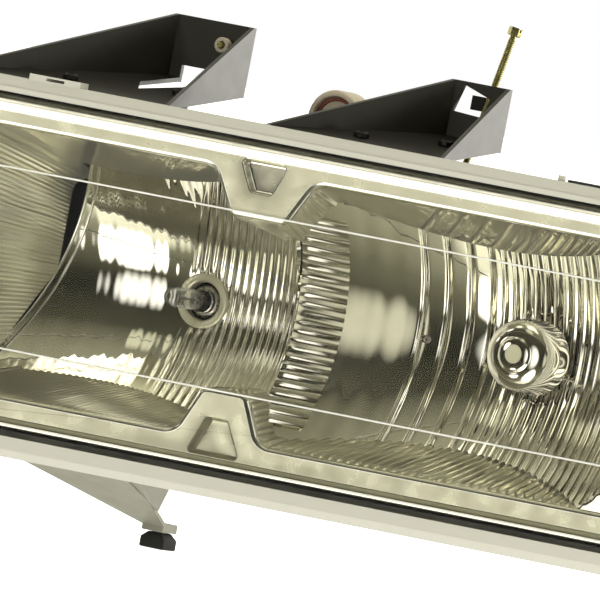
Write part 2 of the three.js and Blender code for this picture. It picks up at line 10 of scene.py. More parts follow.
import bmesh
import bpy
from mathutils import Matrix, Vector
from mathutils.geometry import delaunay_2d_cdt


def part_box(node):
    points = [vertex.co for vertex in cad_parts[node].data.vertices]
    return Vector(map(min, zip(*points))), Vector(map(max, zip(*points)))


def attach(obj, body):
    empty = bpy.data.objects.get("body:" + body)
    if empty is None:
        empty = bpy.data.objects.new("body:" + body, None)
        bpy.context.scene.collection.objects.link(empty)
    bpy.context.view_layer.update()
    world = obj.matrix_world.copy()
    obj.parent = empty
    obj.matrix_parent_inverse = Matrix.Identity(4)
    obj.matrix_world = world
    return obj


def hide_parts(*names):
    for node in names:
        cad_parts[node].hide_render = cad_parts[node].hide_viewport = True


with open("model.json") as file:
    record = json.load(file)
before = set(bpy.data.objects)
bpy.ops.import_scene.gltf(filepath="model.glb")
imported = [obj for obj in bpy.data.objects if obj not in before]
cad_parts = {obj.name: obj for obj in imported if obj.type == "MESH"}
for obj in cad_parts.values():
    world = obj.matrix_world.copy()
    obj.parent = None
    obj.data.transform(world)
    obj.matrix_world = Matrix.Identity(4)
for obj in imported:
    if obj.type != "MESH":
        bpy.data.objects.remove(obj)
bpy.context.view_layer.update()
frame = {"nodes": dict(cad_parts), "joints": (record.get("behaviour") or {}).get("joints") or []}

# ---------------------------------------------------------------- places, from the CAD boxes

MM = 0.001
SWEEP = math.tan(math.radians(18))
lens_low, lens_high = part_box("lens")
HALF_WIDTH = (lens_high.x - lens_low.x) / 2 / MM
HALF_HEIGHT = 90.0
ORIGIN = Vector((
    (lens_low.x + lens_high.x) / 2,
    lens_low.y + SWEEP * HALF_WIDTH * MM,
    lens_low.z + HALF_HEIGHT * MM,
))


def place(x, y, z):
    """A design-frame point in metres in the model's frame."""
    return ORIGIN + Vector((x, y, z)) * MM


def swept(x, depth, z):
    """A point at a depth behind the swept plane of the lens."""
    return place(x, SWEEP * x + depth, z)


def design(point):
    """The design-frame millimetres of a point in metres."""
    return (point - ORIGIN) / MM


def middle(node):
    low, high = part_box(node)
    return design((low + high) / 2)


class Dish:
    """A reflector bowl: y = vertex - dx * dx / spread - dz * dz / spread_z."""

    def __init__(self, name, spread_left, spread_right, spread_z):
        ring = middle(name + "_lock_ring")
        glass_low, glass_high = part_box(name + "_bulb_glass")
        self.name = name
        self.x, self.z = ring.x, ring.z
        self.y = design(glass_high).y - 4
        self.tip = design(glass_low).y - self.y
        self.spread_left, self.spread_right, self.spread_z = spread_left, spread_right, spread_z

    def depth(self, x, z):
        spread = self.spread_left if x < self.x else self.spread_right
        return self.y - (x - self.x) ** 2 / spread - (z - self.z) ** 2 / self.spread_z


HIGH = Dish("high", 217, 217, 110)
LOW = Dish("low", 150, 210, 140)
COLLAR, BULB_HOLE = 13.8, 9.2

BEZEL_FRONT = 8.0
WINDOW = {"left": -168.0, "right": 168.5, "bottom": -61.4, "top": 66.0, "corner": 12}
DRAFT = {"left": 0.345, "right": 0.12, "bottom": 0.29, "top": 0.275}
NOTCH_X = -30.0
TOP_NOTCH = {"wide": 24.0, "narrow": 13.5, "edge": 44.3, "crest": 35.0}
BOTTOM_NOTCH = {"wide": 20.0, "narrow": 10.5, "edge": -38.6, "crest": -34.0}
CREST_X, CREST_Y = -19.0, 34.0
CREASES = (46.9, -39.0)

# ---------------------------------------------------------------- mesh helpers


def build(name, points, faces, materials, slots=None, smooth=35, body="lamp", towards=None):
    """Makes a mesh object from metre points, shades it smooth below an angle and mounts it.

    An open sheet faces the point given as towards; a closed one faces outwards.
    """
    mesh = bpy.data.meshes.new(name)
    mesh.from_pydata([tuple(point) for point in points], [], faces)
    for material in materials:
        mesh.materials.append(material)
    if slots:
        mesh.polygons.foreach_set("material_index", slots)
    mesh.update()
    work = bmesh.new()
    work.from_mesh(mesh)
    bmesh.ops.remove_doubles(work, verts=work.verts, dist=1e-6)
    bmesh.ops.recalc_face_normals(work, faces=work.faces)
    if towards:
        spot = place(*towards)
        facing = 0.0
        for face in work.faces:
            facing += face.normal.dot(spot - face.calc_center_median()) * face.calc_area()
        if facing < 0:
            bmesh.ops.reverse_faces(work, faces=work.faces)
    limit = math.radians(smooth)
    for face in work.faces:
        face.smooth = smooth > 0
    for edge in work.edges:
        edge.smooth = len(edge.link_faces) == 2 and edge.calc_face_angle(0) < limit
    work.to_mesh(mesh)
    work.free()
    piece = bpy.data.objects.new(name, mesh)
    bpy.context.scene.collection.objects.link(piece)
    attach(piece, body)
    return piece


def grid(rows, closed=False):
    """Points and quads of a surface given as rows of points; closed joins each row's ends."""
    width = len(rows[0])
    points = [point for row in rows for point in row]
    faces = []
    for r in range(len(rows) - 1):
        for c in range(width if closed else width - 1):
            n = (c + 1) % width
            faces.append((r * width + c, r * width + n, (r + 1) * width + n, (r + 1) * width + c))
    return points, faces


def merged(*parts):
    """Joins several (points, faces) pairs into one."""
    points, faces = [], []
    for more_points, more_faces in parts:
        start = len(points)
        points += more_points
        faces += [tuple(index + start for index in face) for face in more_faces]
    return points, faces


def turned(profile, centre, axis=(0, 1, 0), sides=48, squash=1.0):
    """Revolves (radius, distance) pairs about an axis from a centre, both in millimetres."""
    turn = Vector((0, 1, 0)).rotation_difference(Vector(axis).normalized()).to_matrix()
    rows = []
    for radius, along in profile:
        row = []
        for side in range(sides):
            angle = 2 * math.pi * side / sides
            local = Vector((radius * math.cos(angle), along, radius * squash * math.sin(angle)))
            row.append(place(*(Vector(centre) + turn @ local)))
        rows.append(row)
    return grid(rows, closed=True)


def solidify(piece, thickness, offset=-1):
    """Thickens an open sheet into a closed shell."""
    shell = piece.modifiers.new("thickness", "SOLIDIFY")
    shell.thickness = thickness * MM
    shell.offset = offset
    return piece


def bevel(piece, width, segments=2, angle=30):
    """Rounds the sharp edges of a piece or of a CAD node."""
    rounding = piece.modifiers.new("edges", "BEVEL")
    rounding.width = width * MM
    rounding.segments = segments
    rounding.limit_method = "ANGLE"
    rounding.angle_limit = math.radians(angle)
    rounding.harden_normals = False
    return piece


def rounded(corners, steps=6):
    """A closed outline from (x, z, radius) corners, with each corner an arc of short steps."""
    outline = []
    count = len(corners)
    for i, (x, z, radius) in enumerate(corners):
        here = Vector((x, z))
        before = (Vector(corners[i - 1][:2]) - here).normalized()
        after = (Vector(corners[(i + 1) % count][:2]) - here).normalized()
        half = before.angle(after) / 2
        reach = radius / math.tan(half)
        centre = here + (before + after).normalized() * (radius / math.sin(half))
        first, last = here + before * reach - centre, here + after * reach - centre
        swing = first.angle_signed(last)
        for step in range(steps + 1):
            spoke = Matrix.Rotation(-swing * step / steps, 2) @ first
            outline.append(centre + spoke)
    return outline


def resampled(outline, spacing):
    """Adds points along the straight stretches of a closed outline."""
    result = []
    for here, there in zip(outline, outline[1:] + outline[:1]):
        pieces = max(1, round((there - here).length / spacing))
        result += [here.lerp(there, step / pieces) for step in range(pieces)]
    return result


def offset(outline, distance):
    """Moves each point of a closed outline sideways: a positive distance grows it."""
    moved = []
    count = len(outline)
    for i in range(count):
        along = (outline[(i + 1) % count] - outline[i - 1]).normalized()
        moved.append(outline[i] + Vector((along.y, -along.x)) * distance)
    return moved


def rectangle(left, right, bottom, top, corner):
    """A rounded rectangle, anticlockwise in (x, z)."""
    corners = [(left, bottom, corner), (right, bottom, corner), (right, top, corner), (left, top, corner)]
    return rounded(corners, 10)


# ---------------------------------------------------------------- materials


class Finish:
    """A principled material whose colour, roughness and relief come from noise on the object."""

    def __init__(self, name, colour, rough, metallic=0.0, **sockets):
        self.material = bpy.data.materials.new(name)
        self.material.use_nodes = True
        self.nodes = self.material.node_tree.nodes
        self.links = self.material.node_tree.links
        self.shader = self.nodes["Principled BSDF"]
        self.shader.inputs["Base Color"].default_value = (*colour, 1)
        self.shader.inputs["Roughness"].default_value = rough
        self.shader.inputs["Metallic"].default_value = metallic
        for socket, value in sockets.items():
            self.shader.inputs[socket.replace("_", " ")].default_value = value
        self.place = self.nodes.new("ShaderNodeTexCoord").outputs["Object"]
        self.material.diffuse_color = (*colour, 1)

    def noise(self, scale, detail=3, stretch=(1, 1, 1)):
        """Noise on object coordinates, with features of about 1 / scale metres."""
        mapping = self.nodes.new("ShaderNodeMapping")
        mapping.inputs["Scale"].default_value = stretch
        self.links.new(self.place, mapping.inputs["Vector"])
        texture = self.nodes.new("ShaderNodeTexNoise")
        texture.inputs["Scale"].default_value = scale
        texture.inputs["Detail"].default_value = detail
        self.links.new(mapping.outputs["Vector"], texture.inputs["Vector"])
        return texture.outputs["Fac"]

    def mottled(self, light, dark, scale=60, low=0.35, high=0.65, stretch=(1, 1, 1)):
        """Lets the colour wander between two shades."""
        mix = self.nodes.new("ShaderNodeMix")
        mix.data_type = "RGBA"
        mix.inputs["A"].default_value = (*dark, 1)
        mix.inputs["B"].default_value = (*light, 1)
        self.links.new(self.ranged(self.noise(scale, 4, stretch), low, high, 0, 1), mix.inputs["Factor"])
        self.links.new(mix.outputs["Result"], self.shader.inputs["Base Color"])
        return self

    def ranged(self, value, low, high, new_low, new_high):
        remap = self.nodes.new("ShaderNodeMapRange")
        limits = {"From Min": low, "From Max": high, "To Min": new_low, "To Max": new_high}
        for socket, number in limits.items():
            remap.inputs[socket].default_value = number
        self.links.new(value, remap.inputs["Value"])
        return remap.outputs["Result"]

    def worn(self, low, high, scale=150, stretch=(1, 1, 1)):
        """Lets the roughness wander between two values."""
        patches = self.ranged(self.noise(scale, 4, stretch), 0.35, 0.65, low, high)
        self.links.new(patches, self.shader.inputs["Roughness"])
        return self

    def relief(self, scale, height, detail=2, stretch=(1, 1, 1)):
        """A bump of the given height in millimetres."""
        bump = self.nodes.new("ShaderNodeBump")
        bump.inputs["Distance"].default_value = height * MM
        self.links.new(self.noise(scale, detail, stretch), bump.inputs["Height"])
        self.links.new(bump.outputs["Normal"], self.shader.inputs["Normal"])
        return self


def plated(name, colour, shade, rough, relief_scale, height, metallic=1.0):
    """Vacuum-metallised plastic: a mirror with slight ripples and faint haze."""
    finish = Finish(name, colour, rough, metallic)
    finish.mottled(colour, shade, 35).worn(rough * 0.8, rough * 1.3, 90).relief(relief_scale, height)
    return finish.material


def moulded(name, light, dark, rough, grain=900, height=0.05, specular=0.5):
    """Injection-moulded plastic: fine texture, soft blotches and a varying sheen."""
    finish = Finish(name, light, rough, Specular_IOR_Level=specular)
    finish.mottled(light, dark, 55).worn(rough * 0.94, min(rough * 1.07, 1), 130).relief(grain, height)
    return finish.material


def machined(name, light, dark, rough, stretch=(1, 1, 1)):
    """Plain or plated metal with fine drawn marks."""
    finish = Finish(name, light, rough, metallic=1.0)
    finish.mottled(light, dark, 260, stretch=stretch).worn(rough * 0.7, rough * 1.4, 500)
    return finish.relief(1500, 0.02, 3, stretch).material


def clear(name, colour, rough, ior, relief_scale, height, clarity=1.0):
    """Clear polycarbonate or glass; a low clarity makes it milky."""
    finish = Finish(name, colour, rough, IOR=ior, Transmission_Weight=clarity)
    return finish.relief(relief_scale, height).material


MIRROR = plated("mirror_chrome", (0.88, 0.865, 0.78), (0.80, 0.78, 0.68), 0.028, 120, 0.006)
FLUTED = plated("fluted_chrome", (0.93, 0.91, 0.78), (0.87, 0.85, 0.70), 0.06, 160, 0.004, 0.62)
SATIN = plated("satin_silver", (0.90, 0.88, 0.67), (0.85, 0.83, 0.62), 0.30, 900, 0.004, 0.6)
RIM_SATIN = plated("satin_rim", (0.74, 0.73, 0.62), (0.66, 0.65, 0.54), 0.20, 900, 0.004)
# A darker copy of the bezel's satin: painted shade for the sunk notch pockets.
POCKET_PAINTED_SHADE = plated("pocket_silver_painted_shade", (0.54, 0.525, 0.42), (0.44, 0.43, 0.33), 0.30, 900, 0.006, 0.8)
EDGE = plated("polished_edge", (0.93, 0.925, 0.87), (0.86, 0.85, 0.78), 0.14, 300, 0.006)
SHIELD = plated("shield_chrome", (0.90, 0.885, 0.79), (0.80, 0.78, 0.67), 0.05, 200, 0.008)
LENS = clear("clear_polycarbonate", (0.99, 0.99, 0.965), 0.01, 1.14, 25, 0.01)
# A milky whitish bead finish: a painted highlight in place of the light caught by the lens's folds.
CREASE_PAINTED_HIGHLIGHT = clear("crease_painted_highlight", (0.95, 0.95, 0.88), 0.28, 1.5, 300, 0.02, 0.25)
SKIRT = clear("lens_skirt", (0.50, 0.49, 0.42), 0.22, 1.5, 200, 0.01, 0.12)
GLASS = clear("bulb_glass", (0.98, 0.98, 0.97), 0.01, 1.48, 200, 0.01)
HOUSING = moulded("black_housing", (0.024, 0.025, 0.027), (0.014, 0.014, 0.015), 0.42)
BRACKET = moulded("bracket_plastic", (0.014, 0.013, 0.009), (0.011, 0.010, 0.007), 0.30, 700, 0.02, 0.5)
# Black bracket plastic given a mid grey: a painted reflection of the pale floor on the lower bracket.
BRACKET_PAINTED_REFLECTION = moulded("bracket_painted_reflection", (0.235, 0.228, 0.180), (0.200, 0.194, 0.150), 0.36, 700, 0.05)
RUBBER = moulded("black_rubber", (0.020, 0.020, 0.019), (0.011, 0.011, 0.010), 0.72, 1200, 0.05, 0.3)
RED_RUBBER = moulded("red_silicone", (0.24, 0.075, 0.05), (0.17, 0.05, 0.035), 0.5, 1200, 0.03, 0.4)
SEALANT = moulded("grey_sealant", (0.20, 0.195, 0.165), (0.12, 0.118, 0.10), 0.55, 300, 0.15, 0.4)
NYLON = moulded("natural_nylon", (0.50, 0.44, 0.33), (0.40, 0.34, 0.25), 0.45, 400, 0.04)
ZINC = machined("yellow_zinc", (0.44, 0.40, 0.17), (0.28, 0.25, 0.10), 0.34)
STEEL = machined("screw_steel", (0.42, 0.41, 0.38), (0.24, 0.235, 0.22), 0.34)
BLACK_SCREW = machined("blackened_steel", (0.045, 0.044, 0.042), (0.025, 0.025, 0.024), 0.36)
TERMINAL = machined("terminal_tin", (0.66, 0.64, 0.58), (0.45, 0.43, 0.38), 0.28, (1, 1, 8))
TUNGSTEN = machined("tungsten_wire", (0.35, 0.34, 0.33), (0.22, 0.21, 0.20), 0.45)

# ---------------------------------------------------------------- studio

CAMERA = {"azimuth": 28, "elevation": 1.2, "roll": 10.8, "distance": 6000, "lens": 756}
AIM = (0, 0, 10.95)


def make_camera():
    data = bpy.data.cameras.new("camera")
    data.lens = CAMERA["lens"]
    data.sensor_width = 36
    data.clip_end = 50
    camera = bpy.data.objects.new("camera", data)
    bpy.context.scene.collection.objects.link(camera)
    bpy.context.scene.camera = camera
    side, up = math.radians(CAMERA["azimuth"]), math.radians(CAMERA["elevation"])
    back = Vector((math.sin(side) * math.cos(up), -math.cos(side) * math.cos(up), math.sin(up)))
    turn = (-back).to_track_quat("-Z", "Y").to_matrix().to_4x4()
    roll = Matrix.Rotation(math.radians(CAMERA["roll"]), 4, "Z")
    camera.matrix_world = Matrix.Translation(place(*AIM) + back * CAMERA["distance"] * MM) @ turn @ roll


def make_floor():
    finish = Finish("pale_floor", (0.93, 0.93, 0.92), 0.8)
    finish.mottled((0.94, 0.94, 0.93), (0.92, 0.92, 0.91), 3)
    finish.shader.inputs["Emission Color"].default_value = (1, 1, 0.99, 1)
    finish.shader.inputs["Emission Strength"].default_value = 0.9
    mesh = bpy.data.meshes.new("floor")
    reach = 40
    corners = [(-reach, -reach, 0), (reach, -reach, 0), (reach, reach, 0), (-reach, reach, 0)]
    mesh.from_pydata(corners, [], [(0, 1, 2, 3)])
    mesh.materials.append(finish.material)
    floor = bpy.data.objects.new("floor", mesh)
    bpy.context.scene.collection.objects.link(floor)
    floor.visible_glossy = floor.visible_transmission = False


def tone(level):
    """A studio brightness as a colour: olive in the shade and nearly white when bright."""
    blue = 0.58 + 0.36 * min(level, 1.3) / 1.3
    return (level, level * 0.975, level * blue)


# Soft boxes of light in the studio, each (degrees right of straight ahead, degrees above the
# horizon, radius in degrees, width of its soft edge, brightness), on a dim surround.
SOFT_BOXES = (
    (8, -34, 11, 7, 3.0),
    (-6, -60, 13, 10, 0.8),
    (4, 0, 5, 13, 1.6),
    (-28, 0, 4, 4, 0.6),
    (62, -2, 3, 17, 0.75),
    (90, 4, 5, 9, 0.9),
    (-38, 6, 3, 3, 3.2),
    (-70, -8, 5, 5, 3.0),
    (-52, 30, 4, 4, 2.4),
    (-12, 42, 4, 6, 0.6),
    (60, 76, 5, 12, 0.5),
    (-112, 12, 7, 6, 3.2),
    (-60, 12, 2, 3, 3.2),
    (-88, -20, 3, 4, 3.0),
    (-92, 22, 3, 4, 2.8),
    (84, 28, 3, 6, 1.6),
    (84, -26, 3, 6, 1.6),
    (112, -16, 4, 5, 2.6),
    (-25, -24, 3, 4, 2.4),
)
SURROUND = ((-1.0, 0.55), (-0.55, 0.16), (-0.14, 0.03), (0.12, 0.022), (0.55, 0.06), (1.0, 0.42))
STUDIO_BACK = 0.8


def make_world():
    """White to the camera; to everything else a dim studio with soft boxes in front of the lamp."""
    world = bpy.data.worlds.new("studio")
    bpy.context.scene.world = world
    world.use_nodes = True
    tree = world.node_tree
    nodes, links = tree.nodes, tree.links
    nodes.clear()
    output, choose = nodes.new("ShaderNodeOutputWorld"), nodes.new("ShaderNodeMixShader")
    seen, studio = nodes.new("ShaderNodeBackground"), nodes.new("ShaderNodeBackground")
    seen.inputs["Color"].default_value = (1, 1, 1, 1)
    path, split = nodes.new("ShaderNodeLightPath"), nodes.new("ShaderNodeSeparateXYZ")
    towards = nodes.new("ShaderNodeTexCoord").outputs["Generated"]
    links.new(towards, split.inputs[0])
    behind = remapped(tree, split.outputs["Y"], -0.05, 0.2)
    light = mixed(tree, "MIX", ramp(tree, split.outputs["Z"], SURROUND), STUDIO_BACK, behind)
    for right, up, radius, edge, level in SOFT_BOXES:
        right, up = math.radians(right), math.radians(up)
        centre = (math.sin(right) * math.cos(up), -math.cos(right) * math.cos(up), math.sin(up))
        facing = nodes.new("ShaderNodeVectorMath")
        facing.operation = "DOT_PRODUCT"
        facing.inputs[1].default_value = centre
        links.new(towards, facing.inputs[0])
        rim, core = math.cos(math.radians(radius + edge)), math.cos(math.radians(radius))
        light = mixed(tree, "ADD", light, level, remapped(tree, facing.outputs["Value"], rim, core))
    links.new(light, studio.inputs["Color"])
    links.new(path.outputs["Is Camera Ray"], choose.inputs["Fac"])
    links.new(studio.outputs[0], choose.inputs[1])
    links.new(seen.outputs[0], choose.inputs[2])
    links.new(choose.outputs[0], output.inputs["Surface"])


def mixed(tree, kind, under, level, factor):
    """Mixes or adds a flat studio brightness to a colour by a factor."""
    blend = tree.nodes.new("ShaderNodeMix")
    blend.data_type, blend.blend_type = "RGBA", kind
    blend.inputs["B"].default_value = (*tone(level), 1)
    tree.links.new(under, blend.inputs["A"])
    tree.links.new(factor, blend.inputs["Factor"])
    return blend.outputs["Result"]


def remapped(tree, value, low, high):
    """0 at the low value, 1 at the high one and smooth between."""
    remap = tree.nodes.new("ShaderNodeMapRange")
    remap.interpolation_type = "SMOOTHSTEP"
    remap.inputs["From Min"].default_value = low
    remap.inputs["From Max"].default_value = high
    tree.links.new(value, remap.inputs["Value"])
    return remap.outputs["Result"]


def ramp(tree, value, stops):
    """Turns a value from -1 to 1 into studio brightness through (value, level) stops."""
    remap = tree.nodes.new("ShaderNodeMapRange")
    remap.inputs["From Min"].default_value = -1
    tree.links.new(value, remap.inputs["Value"])
    colours = tree.nodes.new("ShaderNodeValToRGB")
    band = colours.color_ramp
    band.elements.remove(band.elements[0])
    for spot, level in stops[:-1]:
        band.elements.new((spot + 1) / 2).color = (*tone(level), 1)
    band.elements[len(stops) - 1].color = (*tone(stops[-1][1]), 1)
    tree.links.new(remap.outputs["Result"], colours.inputs["Fac"])
    return colours.outputs["Color"]


def make_light(name, where, size, power, mirrored=False):
    """A soft rectangular light that faces the middle of the lamp.

    Its place is in millimetres, its size in metres and its power in watts. Mirrors and the lens see it only
    when it is mirrored.
    """
    data = bpy.data.lights.new(name, "AREA")
    data.shape = "RECTANGLE"
    data.size, data.size_y = size
    data.energy = power
    data.color = (1, 0.98, 0.92)
    light = bpy.data.objects.new(name, data)
    bpy.context.scene.collection.objects.link(light)
    light.location = place(*where)
    light.rotation_mode = "QUATERNION"
    light.rotation_quaternion = (place(0, 40, 0) - light.location).to_track_quat("-Z", "Y")
    light.visible_camera = False
    light.visible_glossy = light.visible_transmission = mirrored


make_camera()
make_floor()
make_world()
make_light("key_light", (-250, -2200, 900), (0.5, 0.9), 11)
make_light("side_light", (1800, -900, 300), (0.35, 1.4), 10)
make_light("top_light", (0, 100, 1600), (1.4, 0.7), 16)
make_light("back_light", (800, 1500, 420), (1.3, 1.0), 17, mirrored=True)
bpy.context.scene.view_settings.view_transform = "Standard"
bpy.context.scene.view_settings.look = "None"

# ---------------------------------------------------------------- bezel

ROLL = 2.3  # radius of the window's rolled edge
WALL_FRONT = BEZEL_FRONT + ROLL
LEFT_WALL_BACK = 72.0  # the left wall ends here, short of the high-beam reflector
EDGE_GAP = 4.0


def window_outline():
    """The window's edge, anticlockwise in (x, z), with the two notches and rounded corners."""
    left, right, bottom, top, corner = (WINDOW[key] for key in ("left", "right", "bottom", "top", "corner"))
    low_wide, low_narrow, low_edge = (BOTTOM_NOTCH[key] for key in ("wide", "narrow", "edge"))
    top_wide, top_narrow, top_edge = (TOP_NOTCH[key] for key in ("wide", "narrow", "edge"))
    base, tip = 8, 5
    return rounded([
        (left, bottom, corner),
        (NOTCH_X - low_wide, bottom, base),
        (NOTCH_X - low_narrow, low_edge, tip),
        (NOTCH_X + low_narrow, low_edge, tip),
        (NOTCH_X + low_wide, bottom, base),
        (right, bottom, corner),
        (right, top, corner),
        (NOTCH_X + top_wide, top, base),
        (NOTCH_X + top_narrow, top_edge, tip),
        (NOTCH_X - top_narrow, top_edge, tip),
        (NOTCH_X - top_wide, top, base),
        (left, top, corner),
    ], 10)


def inside(point, outline):
    """True if a point lies in a closed outline, by counting the edges to its right."""
    crossings = 0
    for here, there in zip(outline, outline[1:] + outline[:1]):
        if (here.y > point.y) != (there.y > point.y):
            share = (point.y - here.y) / (there.y - here.y)
            crossings += point.x < here.x + share * (there.x - here.x)
    return crossings % 2 == 1


def filled(outer, holes, depth):
    """Triangles between an outline and its holes, all at one depth behind the swept plane."""
    spots, edges = [], []
    for outline in [outer, *holes]:
        start, count = len(spots), len(outline)
        spots += outline
        edges += [(start + i, start + (i + 1) % count) for i in range(count)]
    spots, _, faces, *_ = delaunay_2d_cdt(spots, edges, [], 0, 1e-5)
    kept = []
    for face in faces:
        centre = sum((spots[i] for i in face), Vector((0, 0))) / len(face)
        if inside(centre, outer) and not any(inside(centre, hole) for hole in holes):
            kept.append(tuple(face))
    return [swept(spot.x, depth, spot.y) for spot in spots], kept


def ringed(rings):
    """A surface through closed outlines given as (outline, depth)."""
    return grid([[swept(spot.x, depth, spot.y) for spot in outline] for outline, depth in rings], closed=True)


POCKETS = {
    "top": [
        (NOTCH_X - 12.2, 72.2, 2.2), (NOTCH_X - 5.2, 57.0, 2.0),
        (NOTCH_X + 4.2, 57.0, 2.0), (NOTCH_X + 9.8, 72.2, 2.2),
    ],
    "bottom": [
        (NOTCH_X - 12.0, -70.2, 1.6), (NOTCH_X + 12.0, -70.2, 1.6),
        (NOTCH_X + 3.6, -52.4, 1.6), (NOTCH_X - 5.6, -52.4, 1.6),
    ],
}
BEZEL_RIM = {"side": 183.5, "bottom": -76.5, "top": 81.3, "corner": 11}
RIM_PROFILE = (  # (distance in from the bezel's edge, depth)
    (0, 10.4), (0, 8.2), (0.5, 7.2), (1.6, 6.6), (3.2, 6.3),
    (4.6, 6.4), (6.0, 6.9), (7.2, 7.6), (8.2, 8.0), (8.6, 8.0),
)


POCKET_DEPTH = 4.0


def make_bezel_front():
    """The satin frame with its bright rim, rolled window edge and a sunk pocket in each notch."""
    rim = []
    for inset, depth in RIM_PROFILE:
        side, corner = BEZEL_RIM["side"] - inset, max(BEZEL_RIM["corner"] - inset, 3)
        low, high = BEZEL_RIM["bottom"] + inset * 0.64, BEZEL_RIM["top"] - inset
        rim.append((rectangle(-side, side, low, high, corner), depth))
    window = resampled(window_outline(), 4)
    roll = []
    for step in range(7):
        angle = math.pi / 2 * step / 6
        roll.append((offset(window, ROLL * (1 - math.sin(angle))), WALL_FRONT - ROLL * math.cos(angle)))
    pockets = [resampled(rounded(corners, 5), 3) for corners in POCKETS.values()]
    face = filled(rim[-1][0], [roll[0][0], *(offset(pocket, 0.7) for pocket in pockets)], BEZEL_FRONT)
    parts = [face, ringed(rim), ringed(roll)]
    profile = ((0.7, 0), (0.35, 0.1), (0.1, 0.35), (0, 0.8), (-0.7, 3.4), (-1.0, 3.8), (-1.6, POCKET_DEPTH))
    for pocket in pockets:
        parts.append(ringed([(offset(pocket, grow), BEZEL_FRONT + depth) for grow, depth in profile]))
        parts.append(filled(offset(pocket, -1.6), [], BEZEL_FRONT + POCKET_DEPTH))
    # The pocket finish is painted shade in the sunk pockets, and the edge chrome on the top pocket's sides is a
    # painted highlight.
    satin, bright_rim, rolled_edge_and_painted_highlight, painted_shade = range(4)
    kinds = [satin, bright_rim, rolled_edge_and_painted_highlight]  # the face, the rim and the window's edge
    kinds += [rolled_edge_and_painted_highlight, painted_shade]  # the top pocket's side, a painted highlight in the bright edge chrome, and its floor, painted shade in the darker pocket finish
    kinds += [painted_shade, satin]  # the bottom pocket's side, painted shade in the darker pocket finish, and its floor
    slots = [kind for kind, (_, faces) in zip(kinds, parts) for _ in faces]
    points, faces = merged(*parts)
    finishes = [SATIN, RIM_SATIN, EDGE, POCKET_PAINTED_SHADE]
    front = build("bezel_front", points, faces, finishes, slots, 40, towards=(0, -900, 0))
    return solidify(front, 1.0)


def wall_route(spot):
    """Where the chamber wall starts at a spot on the window's edge, and its run per mm of y."""
    left, right, bottom, top = (WINDOW[key] for key in ("left", "right", "bottom", "top"))
    across = (spot.x - left) / (right - left)
    up = (spot.y - bottom) / (top - bottom)
    lean_x = DRAFT["left"] + across * (-DRAFT["right"] - DRAFT["left"])
    lean_z = DRAFT["bottom"] + up * (-DRAFT["top"] - DRAFT["bottom"])
    start = Vector((spot.x, SWEEP * spot.x + WALL_FRONT, spot.y))
    run = Vector((lean_x, SWEEP * lean_x + 1, lean_z))
    for notch, edge, sign in ((TOP_NOTCH, top, 1), (BOTTOM_NOTCH, bottom, -1)):
        rise = (edge - spot.y) * sign / abs(edge - notch["edge"])
        reach = notch["wide"] + (notch["narrow"] - notch["wide"]) * rise
        if rise <= 0.01 or abs(spot.x - NOTCH_X) > reach + 3:
            continue
        aside = (spot.x - NOTCH_X) / reach
        wall_z = edge - 7 * sign
        crest_x = CREST_X + aside * notch["narrow"] * (1 - rise)
        crest_z = wall_z + (notch["crest"] - wall_z) * rise
        crest = Vector((crest_x, CREST_Y, crest_z))
        towards = (crest - start) / (crest.y - start.y)
        share = min(rise / 0.3, 1)
        run = run / run.y * (1 - share) + towards * share
    return start, run / run.y


def wall_end(start, run, gap):
    """How far the wall runs before it comes within a gap of the reflectors."""
    near, far = 0.0, 160.0
    for _ in range(30):
        halfway = (near + far) / 2
        spot = start + run * halfway
        deepest = max(HIGH.depth(spot.x, spot.z), LOW.depth(spot.x, spot.z)) - gap
        if spot.x < high_left_edge(spot.z) - EDGE_GAP:
            deepest = spot.y + 1
        if spot.y < deepest:
            near = halfway
        else:
            far = halfway
    return near


class Flutes:
    """Ribs along a wall: their pitch, their height and how far they slant, in millimetres. The slant is not
    used.
    """

    def __init__(self, pitch, height, slant=0.0):
        self.pitch, self.height, self.slant = pitch, height, slant


WALL_FLUTES = {
    "left": Flutes(2.6, 0.6),
    "right": Flutes(2.6, 0.5),
    "floor_left": Flutes(3.0, 0.8),
    "floor_right": Flutes(4.3, 1.25),
    "roof_left": Flutes(9.0, 0.04),
    "roof_right": Flutes(5.5, 0.05),
    "notch": Flutes(3.2, 0.8),
    "shelf": Flutes(3.5, 0.12),
}


def wall_zone(spot):
    left, right, bottom, top = (WINDOW[key] for key in ("left", "right", "bottom", "top"))
    if spot.x < left + 6:
        return "left"
    if spot.x > right - 6:
        return "right"
    if abs(spot.x - NOTCH_X) < 26 and bottom + 2 < spot.y < top - 2:
        flat = spot.y in (TOP_NOTCH["edge"], BOTTOM_NOTCH["edge"])
        return "shelf" if abs(spot.x - NOTCH_X) < 8 or flat else "notch"
    side = "left" if spot.x < NOTCH_X else "right"
    return ("roof_" if spot.y > 0 else "floor_") + side


